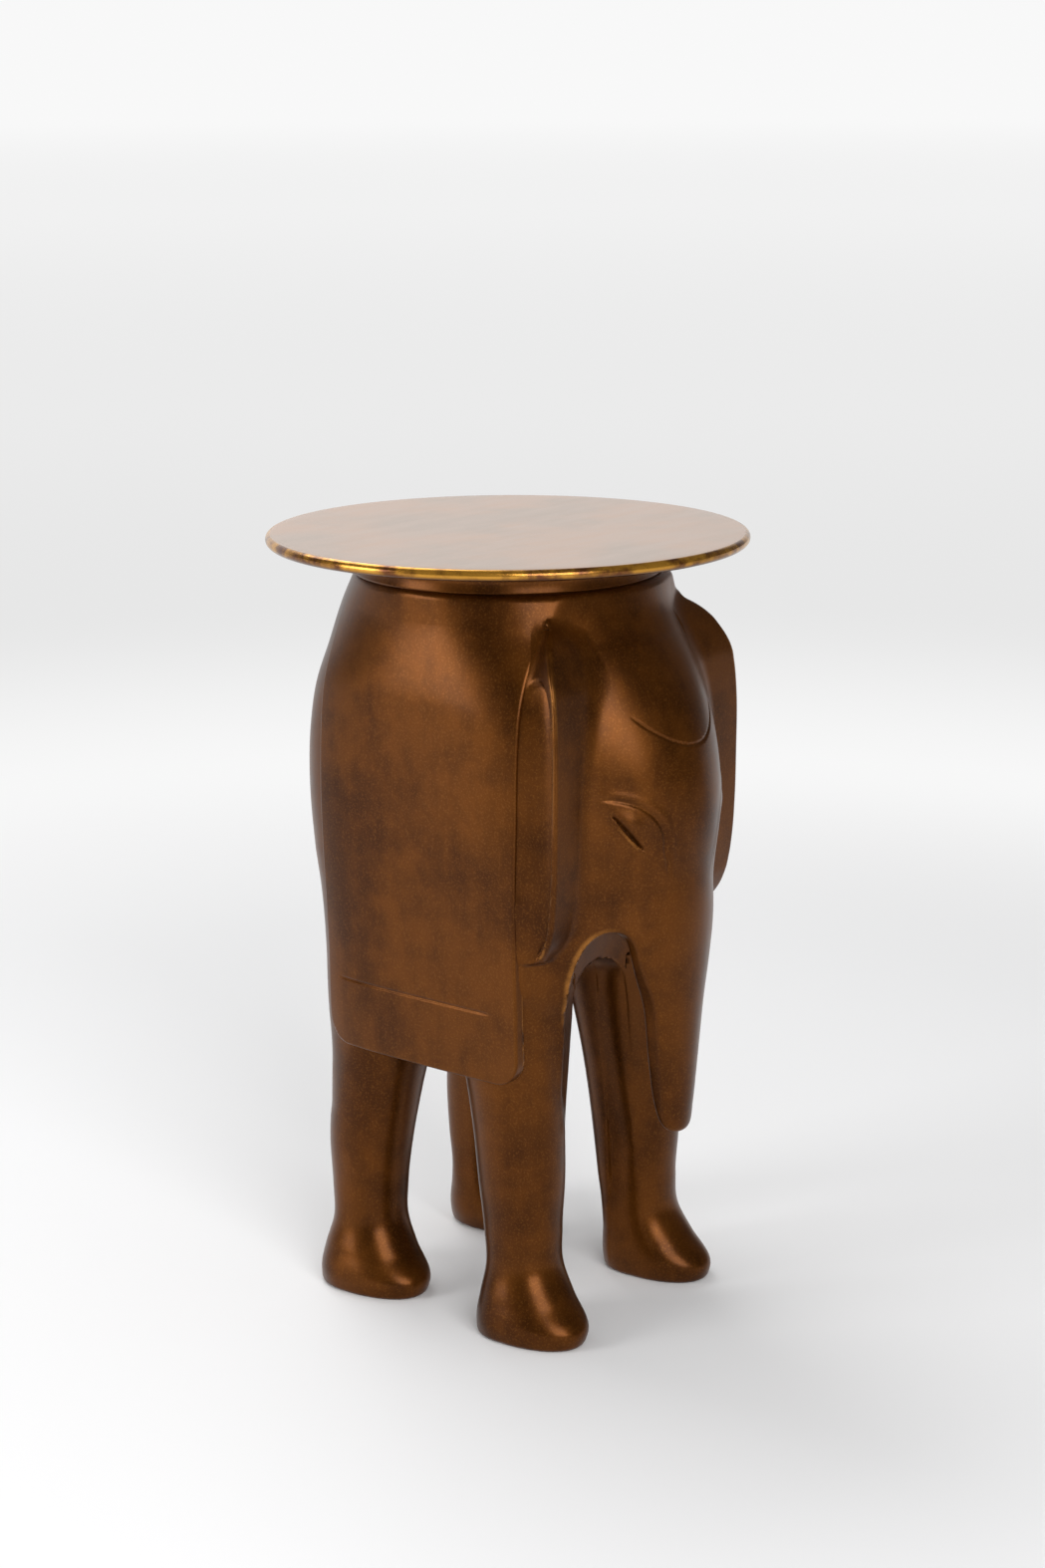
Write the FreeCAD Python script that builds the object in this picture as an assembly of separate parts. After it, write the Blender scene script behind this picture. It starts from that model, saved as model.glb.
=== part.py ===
import FreeCAD, Part
import math
import os

# Elephant pedestal table, cast in bronze sections that are keyed together and brazed.
# Millimetres, +Z up. The elephant looks along -Y and its right side is at -X.
# The origin is on the floor, straight below the centre of the round top.

Vector = FreeCAD.Vector

# Driving sizes
overall_height = 560
top_radius = 170
top_thickness = 8
neck_height = 19
belly_level = 262
hem_level = 195
body_half_width = 113
rump_reach = 138
brow_reach = 165.5
barrel_setback = 4
seam_reach = 92
wall = 5
clearance = 0.15
overrun = 20

crown_level = overall_height - top_thickness - neck_height
body_height = crown_level - belly_level
section_points = 16
skin_degree = 3

# Torso sections from the cloth's hem up to the crown. The columns are level, half width,
# rump reach and its roundness power, then flank reach and its power.
# The level is a share of the height from hem to crown.
torso_shares = [
    (0.000, 0.934, 0.850, 4.2, 1.05, 4.0),
    (0.089, 0.947, 0.855, 4.2, 1.05, 4.0),
    (0.198, 0.956, 0.869, 4.0, 1.05, 4.0),
    (0.311, 0.973, 0.899, 3.8, 1.05, 3.8),
    (0.429, 0.991, 0.969, 3.5, 1.05, 3.6),
    (0.547, 1.000, 0.998, 3.4, 1.05, 3.5),
    (0.666, 1.000, 1.001, 3.2, 1.05, 3.3),
    (0.754, 1.000, 0.984, 2.9, 1.03, 3.0),
    (0.843, 0.991, 0.934, 2.5, 0.96, 2.6),
    (0.932, 0.982, 0.886, 2.15, 0.84, 2.2),
    (1.000, 0.982, 0.804, 2.0, 0.804, 2.0),
]

# Head sections from the belly up to the crown: level, half width, face reach and its power.
head_shares = [
    (0.000, 0.947, 0.650, 2.5),
    (0.140, 0.965, 0.760, 2.35),
    (0.288, 0.985, 0.905, 2.0),
    (0.435, 1.000, 1.000, 1.85),
    (0.583, 1.000, 0.979, 1.85),
    (0.694, 1.000, 0.919, 1.88),
    (0.804, 0.991, 0.823, 1.92),
    (0.915, 0.982, 0.700, 1.97),
    (1.000, 0.982, 0.667, 2.0),
]

# Neck ring and the crown boss that it sits on
neck_waist_radius = 109
neck_waist_height = 8
neck_top_radius = 124
boss_radius = 92
rim_land = 1.0

# Trunk
trunk_half_width = 48
trunk_reach = 168.5
trunk_tip_level = 144
trunk_root_share = 0.528
trunk_root_level = belly_level + trunk_root_share * body_height
trunk_round_power = 2.2
trunk_back_power = 4.0
# level, half width, front, widest line and back, the last three as shares of the reach
trunk_shares = [
    (0.000, 0.10, 0.880, 0.850, 0.820),
    (0.016, 0.22, 0.908, 0.850, 0.795),
    (0.054, 0.31, 0.926, 0.855, 0.777),
    (0.130, 0.375, 0.938, 0.861, 0.766),
    (0.234, 0.46, 0.947, 0.866, 0.760),
    (0.387, 0.594, 0.964, 0.872, 0.760),
    (0.502, 0.71, 0.973, 0.866, 0.748),
    (0.598, 0.85, 0.980, 0.849, 0.724),
    (0.751, 0.96, 0.988, 0.819, 0.700),
    (0.904, 1.000, 1.000, 0.772, 0.653),
    (1.000, 0.960, 0.960, 0.742, 0.623),
]

# Arched mouth under the head, between the front legs
mouth_radius = 67
mouth_root_radius = 11
mouth_depth = 32
mouth_centre_drop = 11

# Ears: level, outer reach and front reach
ear_reach = 108.5
ear_front_reach = 124.7
ear_root = 60
ear_bottom_rise = 23
ear_top_drop = 5
ear_bottom_level = belly_level + ear_bottom_rise
ear_top_level = crown_level - ear_top_drop
ear_power = 2.8
ear_shares = [
    (0.000, 0.70, 0.800),
    (0.045, 0.85, 0.895),
    (0.107, 0.925, 0.955),
    (0.230, 0.972, 0.986),
    (0.370, 0.991, 0.999),
    (0.564, 1.000, 1.000),
    (0.728, 0.983, 0.984),
    (0.807, 0.963, 0.951),
    (0.872, 0.931, 0.890),
    (0.934, 0.870, 0.808),
    (0.975, 0.780, 0.765),
    (1.000, 0.620, 0.745),
]
hollow_half_width = 25
hollow_bottom_rise = 30
hollow_top_drop = 47
hollow_bottom_level = belly_level + hollow_bottom_rise
hollow_top_level = crown_level - hollow_top_drop
hollow_depth = 7

# Saddle cloths
cloth_thickness = 4
cloth_rear_reach = 84
cloth_top_drop = 17
cloth_top_level = crown_level - cloth_top_drop
cloth_corner_radius = 22

# Legs. The foot is longer towards its toe, and the leg leans in under the belly.
leg_spread = 69
front_leg_reach = 68
rear_leg_reach = 78
front_lean = 6.5
rear_lean = 11
leg_radius = 30
# level as a share of the leg, outward lean as a share of its radius, inward lean as a share
# of the lean, then half width, front and back reaches as shares of its radius
leg_shares = [
    (0.000, 0.23, 0.00, 0.97, 1.60, 0.98),
    (0.045, 0.20, 0.00, 1.06, 1.66, 0.98),
    (0.115, 0.12, 0.00, 1.01, 1.22, 0.94),
    (0.190, 0.04, 0.05, 0.89, 0.88, 0.86),
    (0.286, 0.00, 0.10, 0.88, 0.84, 0.96),
    (0.420, 0.00, 0.22, 0.97, 0.92, 1.06),
    (0.573, 0.00, 0.55, 1.03, 1.02, 1.10),
    (0.725, 0.01, 0.90, 1.13, 1.14, 1.14),
    (0.870, 0.02, 1.00, 1.13, 1.24, 1.16),
    (1.000, 0.02, 1.00, 1.15, 1.32, 1.16),
]
leg_power = 2.1
spigot_radius = 16
spigot_length = 12
plug_radius = 20
plug_thickness = 5

# Tail in low relief: level and half width as shares
tail_half_width = 10
tail_proud = 6
tail_sunk = 8
tail_level_shares = (0.15, 0.80)
tail_width_shares = (1.0, 0.8, 0.7, 0.75, 0.85, 1.0)
tail_power = 2.4

# Dowels
dowel_radius = 4
dowel_length = 20
top_dowel_count = 3
top_dowel_circle = 62
ear_dowel_shares = (0.325, 0.694)
ear_dowel_reach = 104
ear_dowel_inner = 74
trunk_dowel_spread = 18
trunk_dowel_reach = 134
trunk_dowel_length = 30
seam_dowel_spread = 60
seam_dowel_shares = (0.14, 0.80)


def closed_ring(centre, half_width, front, back, front_power, back_power):
    """One plan section: a rounded outline whose front and back swell separately."""
    points = []
    for index in range(section_points):
        angle = 2 * math.pi * index / section_points
        across = math.cos(angle)
        along = math.sin(angle)
        power = front_power if along < 0 else back_power
        reach = front if along < 0 else back
        x = half_width * math.copysign(abs(across) ** (2 / power), across)
        y = reach * math.copysign(abs(along) ** (2 / power), along)
        points.append(centre + Vector(x, y, 0))
    curve = Part.BSplineCurve()
    steps = [index / section_points for index in range(section_points + 1)]
    curve.interpolate(Points=points, PeriodicFlag=True, Parameters=steps)
    return Part.Wire([curve.toShape()])


def skin(rings):
    return Part.makeLoft(rings, True, False, False, skin_degree)


def slab(low_y, high_y, low_z, high_z):
    """A block across the whole width, used to keep or remove a range of Y and Z."""
    reach = top_radius + overrun
    corner = Vector(-reach, low_y, low_z)
    return Part.makeBox(2 * reach, high_y - low_y, high_z - low_z, corner)


def torso_skin(inset, floor_level, rows=torso_shares):
    """The barrel of the body, drawn in by inset. A negative inset swells it."""
    top = crown_level - inset if inset > 0 else crown_level
    bottom = hem_level
    rings = []
    for level, width, rump, rump_power, flank, flank_power in rows:
        centre = Vector(0, -barrel_setback, bottom + level * (top - bottom))
        rings.append(closed_ring(
            centre, width * body_half_width - inset,
            flank * rump_reach - inset, rump * rump_reach - inset,
            flank_power, rump_power))
    keep = slab(-seam_reach, top_radius, floor_level, overall_height)
    return skin(rings).common(keep)


def head_skin(inset, rows=head_shares):
    bottom = belly_level + inset
    top = crown_level - inset
    rings = []
    for level, width, face, power in rows:
        centre = Vector(0, -barrel_setback, bottom + level * (top - bottom))
        half_width = width * body_half_width - inset
        reach = face * brow_reach - inset
        rings.append(closed_ring(centre, half_width, reach, half_width, power, power))
    return skin(rings)


def dowel(centre, axis, length, radius):
    """A round pin centred on a point."""
    start = centre - axis * (length / 2)
    return Part.makeCylinder(radius, length, start, axis)


def leg_places():
    """Each leg's side, the place of its foot along Y and how far it leans inwards."""
    return {
        "front_right_leg": (-1, -front_leg_reach, front_lean),
        "front_left_leg": (1, -front_leg_reach, front_lean),
        "rear_right_leg": (-1, rear_leg_reach, -rear_lean),
        "rear_left_leg": (1, rear_leg_reach, -rear_lean),
    }


def spigot_centre(side, place, lean):
    return Vector(side * leg_spread, place + lean, belly_level)


def top_dowel_centres():
    level = overall_height - top_thickness - dowel_length / 4
    centres = []
    for index in range(top_dowel_count):
        angle = 2 * math.pi * index / top_dowel_count
        centres.append(Vector(
            top_dowel_circle * math.cos(angle), top_dowel_circle * math.sin(angle), level))
    return centres


def ear_dowel_centres(side):
    middle = ear_dowel_inner + dowel_length / 2
    levels = [belly_level + share * body_height for share in ear_dowel_shares]
    return [Vector(side * middle, -ear_dowel_reach, level) for level in levels]


def trunk_dowel_centres():
    level = belly_level - mouth_centre_drop + mouth_radius
    return [Vector(side * trunk_dowel_spread, -trunk_dowel_reach, level) for side in (-1, 1)]


def seam_dowel_centres():
    centres = []
    for side in (-1, 1):
        for share in seam_dowel_shares:
            level = belly_level + share * body_height
            centres.append(Vector(side * seam_dowel_spread, -seam_reach, level))
    return centres


def leave_bosses(cavity, centres, axis, length):
    """Take from a cavity the metal that surrounds each dowel hole."""
    for centre in centres:
        boss = dowel(centre, axis, length + 2 * wall, dowel_radius + wall)
        cavity = cavity.cut(boss)
    return cavity


def drill(shape, centres, axis, length):
    for centre in centres:
        shape = shape.cut(dowel(centre, axis, length, dowel_radius + clearance))
    return shape


def make_table_top():
    """A round plate with a rolled rim, drilled from below for its locating dowels."""
    half = top_thickness / 2
    bottom = overall_height - top_thickness
    middle = bottom + half
    rim_start = top_radius - half
    outline = [
        Part.LineSegment(Vector(0, 0, bottom), Vector(rim_start, 0, bottom)),
        Part.Arc(Vector(rim_start, 0, bottom), Vector(top_radius, 0, middle),
                 Vector(rim_start, 0, overall_height)),
        Part.LineSegment(Vector(rim_start, 0, overall_height), Vector(0, 0, overall_height)),
        Part.LineSegment(Vector(0, 0, overall_height), Vector(0, 0, bottom)),
    ]
    face = Part.Face(Part.Wire([piece.toShape() for piece in outline]))
    plate = face.revolve(Vector(0, 0, 0), Vector(0, 0, 1), 360)
    return drill(plate, top_dowel_centres(), Vector(0, 0, 1), dowel_length)


def make_neck_ring():
    """The waisted ring between body and top. It drops over the crown boss."""
    top = overall_height - top_thickness
    bore = boss_radius + clearance
    foot_radius = torso_shares[-1][1] * body_half_width
    foot = Vector(foot_radius, 0, crown_level)
    waist = Vector(neck_waist_radius, 0, crown_level + neck_waist_height)
    lip = Vector(neck_top_radius, 0, top - rim_land)
    outline = [
        Part.Arc(foot, waist, lip).toShape(),
        Part.LineSegment(lip, Vector(neck_top_radius, 0, top)).toShape(),
        Part.LineSegment(Vector(neck_top_radius, 0, top), Vector(bore, 0, top)).toShape(),
        Part.LineSegment(Vector(bore, 0, top), Vector(bore, 0, crown_level)).toShape(),
        Part.LineSegment(Vector(bore, 0, crown_level), foot).toShape(),
    ]
    face = Part.Face(Part.Wire(outline))
    return face.revolve(Vector(0, 0, 0), Vector(0, 0, 1), 360)


def torso_cavity():
    """The space inside the barrel, open up into the crown boss, less its bosses."""
    bottom = belly_level + wall
    hollow = torso_skin(wall, bottom, torso_shares[::2])
    crown = Part.makeCylinder(boss_radius - wall, crown_level + neck_height - wall - bottom,
                              Vector(0, 0, bottom))
    hollow = hollow.fuse(crown)
    hollow = hollow.common(slab(-seam_reach + wall, top_radius, belly_level, overall_height))
    for spot in leg_places().values():
        stud = Part.makeCylinder(spigot_radius + wall, spigot_length + wall,
                                 spigot_centre(*spot))
        hollow = hollow.cut(stud)
    hollow = leave_bosses(hollow, top_dowel_centres(), Vector(0, 0, 1), dowel_length)
    return leave_bosses(hollow, seam_dowel_centres(), Vector(0, 1, 0), dowel_length)


def make_torso():
    """The hollow barrel, with leg sockets in its floor and a boss for the top."""
    boss = Part.makeCylinder(boss_radius, neck_height, Vector(0, 0, crown_level))
    boss = boss.common(slab(-seam_reach, top_radius, 0, overall_height))
    shell = torso_skin(0, belly_level).fuse(boss).cut(torso_cavity())
    for spot in leg_places().values():
        socket = Part.makeCylinder(spigot_radius + clearance, spigot_length + clearance,
                                   spigot_centre(*spot))
        shell = shell.cut(socket)
    shell = drill(shell, top_dowel_centres(), Vector(0, 0, 1), dowel_length)
    return drill(shell, seam_dowel_centres(), Vector(0, 1, 0), dowel_length)


def mouth_space(extra):
    """The flared arch below the head, grown by extra."""
    forward = Vector(0, -1, 0)
    centre = Vector(0, -seam_reach + extra, belly_level - mouth_centre_drop)
    flare = Part.makeCone(mouth_root_radius + extra, mouth_radius + extra,
                          mouth_depth, centre, forward)
    barrel_start = centre + forward * mouth_depth
    barrel = Part.makeCylinder(mouth_radius + extra, brow_reach, barrel_start, forward)
    return flare.fuse(barrel)


def make_head():
    """The face block: brow, cheeks and the arch between the front legs."""
    front = slab(-top_radius - overrun, -seam_reach, 0, overall_height)
    inner_front = slab(-top_radius - overrun, -seam_reach - wall, 0, overall_height)
    cavity = head_skin(wall, head_shares[::2]).common(inner_front).cut(mouth_space(wall))
    block = head_skin(0).common(front)
    holes = [
        (trunk_dowel_centres(), Vector(0, 0, 1), trunk_dowel_length),
        (ear_dowel_centres(-1), Vector(1, 0, 0), dowel_length),
        (ear_dowel_centres(1), Vector(1, 0, 0), dowel_length),
        (seam_dowel_centres(), Vector(0, 1, 0), dowel_length),
    ]
    for centres, axis, length in holes:
        cavity = leave_bosses(cavity, centres, axis, length)
    block = block.cut(cavity).cut(mouth_space(0))
    for centres, axis, length in holes:
        block = drill(block, centres, axis, length)
    return block


def make_trunk():
    """The trunk, D-shaped in plan, running from the brow down to a rounded tip."""
    rings = []
    for level, width, front, widest, back in trunk_shares:
        centre_reach = widest * trunk_reach
        centre = Vector(0, -centre_reach,
                        trunk_tip_level + level * (trunk_root_level - trunk_tip_level))
        rings.append(closed_ring(
            centre, width * trunk_half_width,
            front * trunk_reach - centre_reach, centre_reach - back * trunk_reach,
            trunk_round_power, trunk_back_power))
    trunk = skin(rings).cut(head_skin(0).cut(mouth_space(0)))
    trunk = drill(trunk, trunk_dowel_centres(), Vector(0, 0, 1), trunk_dowel_length)
    return max(trunk.Solids, key=lambda solid: solid.Volume)


def make_ear(side):
    """A tall flap beside the face, with a rolled front rim round a long hollow."""
    rings = []
    for level, outer, front in ear_shares:
        reach = outer * ear_reach
        half_width = (reach - ear_root) / 2
        depth = front * ear_front_reach - seam_reach
        centre = Vector(side * (ear_root + half_width), -seam_reach,
                        ear_bottom_level + level * (ear_top_level - ear_bottom_level))
        rings.append(closed_ring(centre, half_width, depth, depth, ear_power, ear_power))
    flap = skin(rings).common(slab(-top_radius, -seam_reach, 0, overall_height))
    flap = flap.cut(head_skin(0)).cut(ear_hollow(side))
    flap = drill(flap, seam_dowel_centres(), Vector(0, 1, 0), dowel_length)
    return drill(flap, ear_dowel_centres(side), Vector(1, 0, 0), dowel_length)


def ear_hollow(side):
    """The long scoop in the outside of an ear, round at both ends."""
    low = hollow_bottom_level + hollow_half_width
    high = hollow_top_level - hollow_half_width
    start = side * (ear_reach - hollow_depth)
    depth = Vector(side * (hollow_depth + overrun), 0, 0)

    def spot(y, z):
        return Vector(start, -seam_reach + y, z)

    sides = [
        Part.LineSegment(spot(-hollow_half_width, low), spot(-hollow_half_width, high)),
        Part.Arc(spot(-hollow_half_width, high), spot(0, hollow_top_level),
                 spot(hollow_half_width, high)),
        Part.LineSegment(spot(hollow_half_width, high), spot(hollow_half_width, low)),
        Part.Arc(spot(hollow_half_width, low), spot(0, hollow_bottom_level),
                 spot(-hollow_half_width, low)),
    ]
    return Part.Face(Part.Wire([piece.toShape() for piece in sides])).extrude(depth)


def make_cloth(side):
    """A saddle cloth: a thin panel lying on the flank, with rounded lower corners."""
    start = side * leg_spread
    depth = Vector(side * top_radius, 0, 0)
    front = -seam_reach
    rear = cloth_rear_reach
    r = cloth_corner_radius
    diagonal = r * (1 - math.sqrt(0.5))

    def spot(y, z):
        return Vector(start, y, z)

    edges = [
        Part.LineSegment(spot(front, cloth_top_level), spot(front, hem_level + r)),
        Part.Arc(spot(front, hem_level + r), spot(front + diagonal, hem_level + diagonal),
                 spot(front + r, hem_level)),
        Part.LineSegment(spot(front + r, hem_level), spot(rear - r, hem_level)),
        Part.Arc(spot(rear - r, hem_level), spot(rear - diagonal, hem_level + diagonal),
                 spot(rear, hem_level + r)),
        Part.LineSegment(spot(rear, hem_level + r), spot(rear, cloth_top_level)),
        Part.LineSegment(spot(rear, cloth_top_level), spot(front, cloth_top_level)),
    ]
    window = Part.Face(Part.Wire([piece.toShape() for piece in edges])).extrude(depth)
    outer = torso_skin(-cloth_thickness, hem_level)
    return outer.cut(torso_skin(0, hem_level)).common(window)


def leg_skin(side, place, lean, inset, rows=leg_shares):
    rings = []
    for level, lean_out, lean_in, half_width, front, back in rows:
        centre = Vector(side * (leg_spread + lean_out * leg_radius), place + lean_in * lean,
                        level * belly_level)
        rings.append(closed_ring(
            centre, half_width * leg_radius - inset, front * leg_radius - inset,
            back * leg_radius - inset, leg_power, leg_power))
    return skin(rings)


def make_leg(side, place, lean):
    """A hollow leg with a long-toed foot, and a spigot that keys it to the body."""
    inside = slab(-top_radius, top_radius, plug_thickness, belly_level - wall)
    core = leg_skin(side, place, lean, wall).common(inside)
    leg = leg_skin(side, place, lean, 0).cut(core).cut(core_plug(side, place, 0))
    spigot = Part.makeCylinder(spigot_radius, spigot_length, spigot_centre(side, place, lean))
    return leg.fuse(spigot)


def core_plug(side, place, gap):
    """The round plug that closes the core hole in the sole, or with no gap its seat."""
    centre = Vector(side * leg_spread, place, 0)
    return Part.makeCylinder(plug_radius - gap, plug_thickness, centre)


def make_tail(torso_outside):
    low, high = tail_level_shares
    rows = [row for row in torso_shares if low < row[0] < high]
    rings = []
    for row, width in zip(rows, tail_width_shares):
        level = hem_level + row[0] * (crown_level - hem_level)
        reach = row[2] * rump_reach - barrel_setback
        half_width = width * tail_half_width
        rings.append(closed_ring(Vector(0, reach, level), half_width, tail_sunk,
                                 tail_proud, tail_power, tail_power))
    return skin(rings).cut(torso_outside)


def make_dowels(centres, axis, length):
    return Part.makeCompound([dowel(centre, axis, length, dowel_radius) for centre in centres])


def write(name, shape):
    shape.exportStep(os.path.join("parts", name + ".step"))
    print(name, len(shape.Solids), "solids", round(shape.Volume), "mm3", shape.isValid())


def main():
    os.makedirs("parts", exist_ok=True)
    write("table_top", make_table_top())
    write("neck_ring", make_neck_ring())
    write("torso", make_torso())
    write("head", make_head())
    write("trunk", make_trunk())
    for side, name in ((-1, "right"), (1, "left")):
        write(name + "_ear", make_ear(side))
        write(name + "_saddle_cloth", make_cloth(side))
    for name, (side, place, lean) in leg_places().items():
        write(name, make_leg(side, place, lean))
        write(name.replace("_leg", "_core_plug"), core_plug(side, place, clearance))
    write("tail", make_tail(torso_skin(0, hem_level)))
    write("top_dowels", make_dowels(top_dowel_centres(), Vector(0, 0, 1), dowel_length))
    ear_centres = ear_dowel_centres(-1) + ear_dowel_centres(1)
    write("ear_dowels", make_dowels(ear_centres, Vector(1, 0, 0), dowel_length))
    write("trunk_dowels", make_dowels(trunk_dowel_centres(), Vector(0, 0, 1),
                                      trunk_dowel_length))
    write("seam_dowels", make_dowels(seam_dowel_centres(), Vector(0, 1, 0), dowel_length))


main()
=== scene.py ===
import math

import bmesh
import bpy
import numpy as np
from mathutils import Matrix, Vector


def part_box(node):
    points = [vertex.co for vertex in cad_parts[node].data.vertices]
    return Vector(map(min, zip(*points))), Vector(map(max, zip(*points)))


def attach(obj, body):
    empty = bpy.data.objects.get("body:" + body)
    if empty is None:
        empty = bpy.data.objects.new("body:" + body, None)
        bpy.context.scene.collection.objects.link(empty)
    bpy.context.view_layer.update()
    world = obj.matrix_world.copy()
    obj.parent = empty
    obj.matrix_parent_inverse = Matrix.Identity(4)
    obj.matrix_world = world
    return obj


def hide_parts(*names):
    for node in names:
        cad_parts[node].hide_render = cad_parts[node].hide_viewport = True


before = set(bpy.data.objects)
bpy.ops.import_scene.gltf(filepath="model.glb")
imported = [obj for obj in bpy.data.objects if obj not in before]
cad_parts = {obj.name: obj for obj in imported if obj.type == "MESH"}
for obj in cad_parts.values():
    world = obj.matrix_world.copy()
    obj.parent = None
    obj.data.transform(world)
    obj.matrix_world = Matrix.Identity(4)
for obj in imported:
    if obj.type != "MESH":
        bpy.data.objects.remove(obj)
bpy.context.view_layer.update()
print("frame loaded")

# Metres, +Z up. The elephant looks along -Y and its right side is at -X.
# The body is one smooth field of distance, so that the cast sections meet without a seam.
# Each section is the field cut by its own region, and is meshed as a closed shell.


# fields

def smoothMax(a, b, blend):
    near = np.maximum(blend - np.abs(a - b), 0) / blend
    return np.maximum(a, b) + near * near * blend / 4


def smoothMin(a, b, blend):
    return -smoothMax(-a, -b, blend)


def fade(value, start, end):
    # 0 at start and 1 at end, with a soft foot and shoulder
    t = np.clip((value - start) / (end - start), 0, 1)
    return t * t * (3 - 2 * t)


def alongRows(rows, at):
    # smooth curves through the columns of a table whose first column is the level
    levels, *columns = np.array(rows).T
    at = np.clip(at, levels[0], levels[-1])
    low = np.clip(np.searchsorted(levels, at) - 1, 0, len(levels) - 2)
    span = levels[low + 1] - levels[low]
    t = (at - levels[low]) / span
    rise = t * t * (3 - 2 * t)
    curves = []
    for values in columns:
        slopes = np.gradient(values, levels)
        curves.append(values[low] * (1 - rise) + values[low + 1] * rise
                      + slopes[low] * span * t * (1 - t) ** 2
                      - slopes[low + 1] * span * t * t * (1 - t))
    return curves


leastSize = 1e-4


def ovalField(x, y, halfWidth, reach, power):
    # distance in plan to an oval whose corners fill out as its power grows
    size = (np.abs(x / halfWidth) ** power + np.abs(y / reach) ** power) ** (1 / power)
    size = np.maximum(size, leastSize)
    return np.maximum(np.hypot(x, y), leastSize * halfWidth) * (1 - 1 / size)


body = {
    "crown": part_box("neck_ring")[0].z,
    "belly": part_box("head")[0].z,
    "hem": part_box("right_saddle_cloth")[0].z,
    "seam": -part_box("torso")[0].y,
    "halfWidth": 0.113,
    "rumpReach": 0.138,
    "setback": 0.004,
    "bellyBlend": 0.016,
    "legBlend": 0.024,
    "chestBlend": 0.010,
    "swellRamp": 3.0,
    "topRamp": 0.15,
    "rampStart": 0.455,
    "rampEnd": 0.500,
    "footRoom": 0.030,
    "footTop": 0.140,
    "crownEdge": 0.005,
    "seamEase": 0.001,
    "frontEase": 0.010,
    "easeReach": 0.020,
    "clothThins": 0.455,
    "clothEnds": 0.516,
    # level, half width, rump reach and its power, flank reach and its power
    "rows": [
        (0.000, 0.940, 0.850, 4.20, 1.050, 7.0),
        (0.089, 0.952, 0.855, 4.20, 1.050, 7.0),
        (0.198, 0.960, 0.869, 4.00, 1.050, 6.5),
        (0.311, 0.975, 0.899, 3.80, 1.050, 5.2),
        (0.429, 0.991, 0.969, 3.50, 1.050, 4.2),
        (0.547, 1.000, 0.998, 3.40, 1.050, 3.5),
        (0.666, 1.000, 1.001, 3.20, 1.050, 3.3),
        (0.754, 1.000, 0.984, 2.90, 1.030, 3.0),
        (0.843, 0.991, 0.934, 2.50, 0.960, 2.6),
        (0.932, 0.982, 0.886, 2.15, 0.840, 2.2),
        (1.000, 0.982, 0.804, 2.00, 0.804, 2.0),
    ],
}


def barrelLevel(z):
    return (z - body["hem"]) / (body["crown"] - body["hem"])


def barrelField(x, y, z):
    width, rump, rumpPower, flank, flankPower = alongRows(body["rows"], barrelLevel(z))
    along = y + body["setback"]
    reach = np.where(along > 0, rump, flank) * body["rumpReach"]
    power = np.where(along > 0, rumpPower, flankPower)
    return ovalField(x, along, width * body["halfWidth"], reach, power)


head = {
    "reach": 0.1655,
    "seamBlend": 0.014,
    "reliefStart": 0.100,
    "reliefEnd": 0.125,
    # level, half width, face reach and its power
    "rows": [
        (0.000, 0.947, 0.660, 2.50),
        (0.140, 0.965, 0.785, 2.35),
        (0.288, 0.985, 0.925, 2.05),
        (0.435, 1.000, 1.000, 1.85),
        (0.583, 1.000, 0.979, 1.85),
        (0.694, 1.000, 0.919, 1.88),
        (0.804, 0.991, 0.823, 1.92),
        (0.915, 0.982, 0.700, 1.97),
        (1.000, 0.982, 0.667, 2.00),
    ],
}


def faceField(x, y, z):
    level = (z - body["belly"]) / (body["crown"] - body["belly"])
    width, reach, power = alongRows(head["rows"], level)
    along = y + body["setback"]
    halfWidth = width * body["halfWidth"]
    reach = np.where(along < 0, reach * head["reach"], halfWidth)
    return ovalField(x, along, halfWidth, reach, power)


leg = {
    "spread": 0.069,
    "frontReach": 0.068,
    "rearReach": 0.078,
    "frontLean": 0.0065,
    "rearLean": 0.016,
    "frontHeel": 0.001,
    "rearHeel": 0.004,
    "heelLow": 0.010,
    "heelTop": 0.055,
    "shankLow": 0.030,
    "radius": 0.030,
    "power": 2.1,
    "innerPower": 2.8,
    "chestTop": 0.315,
    "soleEdge": 0.004,
    # level, outward lean, inward lean, outer half width, front reach, back reach and
    # inner half width
    "rows": [
        (0.000, 0.23, 0.00, 0.97, 1.78, 0.98, 0.97),
        (0.045, 0.20, 0.00, 1.06, 1.85, 0.98, 1.06),
        (0.115, 0.12, 0.00, 1.01, 1.34, 0.94, 1.01),
        (0.190, 0.04, 0.05, 0.90, 0.94, 0.88, 0.90),
        (0.286, 0.00, 0.10, 0.89, 0.88, 0.98, 0.89),
        (0.420, 0.00, 0.22, 0.97, 0.97, 1.09, 0.96),
        (0.573, 0.00, 0.55, 1.03, 1.05, 1.16, 1.10),
        (0.725, 0.01, 0.90, 1.13, 1.16, 1.28, 1.30),
        (0.870, 0.02, 1.00, 1.19, 1.24, 1.60, 1.46),
        (1.000, 0.02, 1.00, 1.22, 1.32, 2.10, 1.60),
    ],
}


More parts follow.
